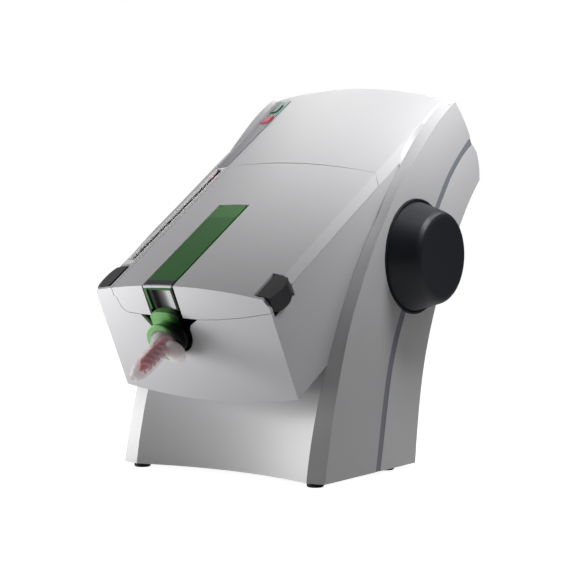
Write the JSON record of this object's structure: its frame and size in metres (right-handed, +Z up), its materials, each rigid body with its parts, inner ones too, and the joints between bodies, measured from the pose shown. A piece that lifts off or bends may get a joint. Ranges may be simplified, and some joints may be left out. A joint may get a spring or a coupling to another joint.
{
  "type": "dental impression mixer",
  "caption": "Desk-top automatic mixer for two-part dental impression paste: a sloping head with hinged lid, sunken cartridge and mixing tip on a splayed stand, with a hand wheel on its right side",
  "frame": {"origin": "middle of the four feet, on the surface the device stands on", "axes": "+Z up, +X to the device's right as seen by a user who stands in front of it, towards the hand wheel, +Y from the front to the back"},
  "size_m": [0.2459, 0.3824, 0.3458],
  "materials": {
    "shell_grey": "satin light warm grey moulding",
    "stand_grey": "satin light grey moulding",
    "trim_grey": "blue-grey inlay",
    "button_dark": "dark charcoal moulding",
    "wheel_black": "satin black",
    "ring_black": "black recess ring",
    "label_green": "glossy green label",
    "keypad_green": "printed membrane",
    "frame_white": "white frame",
    "lens_clear": "clear window",
    "pointer_red": "red pointer",
    "key_red": "red key",
    "key_green": "dark green key",
    "led": "unlit lamp",
    "collar_green": "light green bayonet collar",
    "tip_clear": "clear moulded mixing tip",
    "rotor_red": "red moulded mixing rotor",
    "cartridge_grey": "grey moulded cartridge",
    "foil": "foil",
    "inner_grey": "inner moulding",
    "steel": "turned steel",
    "spring_steel": "spring wire",
    "plate_steel": "zinc plated sheet",
    "bronze": "sintered bronze",
    "board": "circuit board",
    "motor": "gearmotor case",
    "black_plastic": "black moulding",
    "rubber": "soft foot"
  },
  "bodies": {
    "housing": {"main_housing": "shell_grey", "head_bottom_cover": "shell_grey", "lid_hinge_pin": "steel", "lid_hinge_bracket": "plate_steel", "release_springs": "spring_steel", "level_window_frame": "frame_white", "level_window_lens": "lens_clear", "keypad_strip": "keypad_green", "status_led": "led", "circuit_boards": "board", "side_shell_left": "shell_grey", "side_shell_right": "shell_grey", "rear_shell": "shell_grey", "inlet_panel": "shell_grey", "mains_inlet": "black_plastic", "mains_inlet_pins": "steel", "trim_strips": "trim_grey", "stand_front_panel": "stand_grey", "base_plate": "inner_grey", "rubber_feet": "rubber", "base_screws": "steel", "wheel_dish": "ring_black", "feed_gearmotor": "motor", "gear_plate": "plate_steel", "mixer_gearmotor": "motor", "mixer_bracket": "plate_steel", "shaft_bearings": "bronze", "front_bulkhead": "plate_steel", "frame_plates": "plate_steel", "bay_liner": "inner_grey", "bay_deck": "inner_grey", "cartridge_body": "cartridge_grey", "cartridge_label": "label_green", "cartridge_neck_insert": "cartridge_grey", "cartridge_collar": "collar_green", "mixing_tip": "tip_clear", "base_foil_bag": "foil", "catalyst_foil_bag": "foil", "foil_bag_caps": "inner_grey", "power_supply": "plate_steel"},
    "lid": {"lid": "shell_grey"},
    "hand_wheel": {"hand_wheel": "wheel_black", "wheel_shaft": "steel"},
    "pinion_shaft": {"pinion_shaft": "steel", "rack_pinions": "steel"},
    "feed_motor": {"feed_motor_pinion": "steel"},
    "base_plunger": {"base_plunger": "inner_grey", "base_rack_rod": "steel"},
    "catalyst_plunger": {"catalyst_plunger": "inner_grey", "catalyst_rack_rod": "steel", "level_pointer_arm": "plate_steel", "level_pointer": "pointer_red"},
    "mixer_drive": {"mixer_drive_shaft": "steel", "mixing_rotor": "rotor_red"},
    "mixer_motor": {"mixer_motor_pinion": "steel"},
    "release_button_left": {"release_button_left": "button_dark"},
    "release_button_right": {"release_button_right": "button_dark"},
    "start_button": {"start_button": "key_green"},
    "rewind_button": {"rewind_button": "key_red"},
    "power_rocker": {"power_rocker": "black_plastic"}
  },
  "joints": [
    {"name": "lid_hinge", "type": "hinge", "parent": "housing", "child": "lid", "pos_m": [0, 0.04275, 0.27112], "axis": [-1, 0, 0], "range_deg": [0, 85]},
    {"name": "base_plunger_slide", "type": "slide", "parent": "housing", "child": "base_plunger", "axis": [0, -0.866, -0.5], "range_m": [0, 0.13], "deforming": ["base_foil_bag"]},
    {"name": "catalyst_plunger_slide", "type": "slide", "parent": "housing", "child": "catalyst_plunger", "axis": [0, -0.866, -0.5], "range_m": [0, 0.13], "deforming": ["catalyst_foil_bag"]},
    {"name": "pinion_shaft_turn", "type": "hinge", "parent": "housing", "child": "pinion_shaft", "pos_m": [0, 0.06366, 0.21331], "axis": [1, 0, 0], "range_deg": [0, 829.6]},
    {"name": "hand_wheel_turn", "type": "hinge", "parent": "housing", "child": "hand_wheel", "pos_m": [0.08, 0.0875, 0.1935], "axis": [1, 0, 0], "range_deg": [-1148.9, 0]},
    {"name": "feed_motor_turn", "type": "hinge", "parent": "housing", "child": "feed_motor", "pos_m": [0.06, 0.08704, 0.22681], "axis": [1, 0, 0], "range_deg": [-1659.2, 0]},
    {"name": "mixer_drive_turn", "type": "hinge", "parent": "housing", "child": "mixer_drive", "pos_m": [-0.0223, -0.0209, 0.17976], "axis": [0, 0.866, 0.5], "continuous": true},
    {"name": "mixer_motor_turn", "type": "hinge", "parent": "housing", "child": "mixer_motor", "pos_m": [-0.0223, 0.06485, 0.25525], "axis": [0, 0.866, 0.5], "continuous": true},
    {"name": "release_button_right_press", "type": "slide", "parent": "housing", "child": "release_button_right", "axis": [-1, 0, 0], "range_m": [0, 0.0022], "stiffness_N_per_m": 900, "springref_m": -0.0005, "deforming": ["release_springs"]},
    {"name": "release_button_left_press", "type": "slide", "parent": "housing", "child": "release_button_left", "axis": [1, 0, 0], "range_m": [0, 0.0022], "stiffness_N_per_m": 900, "springref_m": -0.0005, "deforming": ["release_springs"]},
    {"name": "start_button_press", "type": "slide", "parent": "housing", "child": "start_button", "axis": [0, 0.5, -0.866], "range_m": [0, 0.001], "stiffness_N_per_m": 800, "springref_m": -0.0003},
    {"name": "rewind_button_press", "type": "slide", "parent": "housing", "child": "rewind_button", "axis": [0, 0.5, -0.866], "range_m": [0, 0.001], "stiffness_N_per_m": 800, "springref_m": -0.0003},
    {"name": "power_rocker_tilt", "type": "hinge", "parent": "housing", "child": "power_rocker", "pos_m": [-0.014, 0.0825, 0.041], "axis": [1, 0, 0], "range_deg": [0, 12]}
  ],
  "couplings": [
    {"joint": "catalyst_plunger_slide", "follows": "base_plunger_slide", "ratio": 1},
    {"joint": "pinion_shaft_turn", "follows": "base_plunger_slide", "rad_per_m": 111.11},
    {"joint": "hand_wheel_turn", "follows": "base_plunger_slide", "rad_per_m": -153.85},
    {"joint": "feed_motor_turn", "follows": "base_plunger_slide", "rad_per_m": -222.22},
    {"joint": "mixer_motor_turn", "follows": "mixer_drive_turn", "ratio": -1}
  ]
}
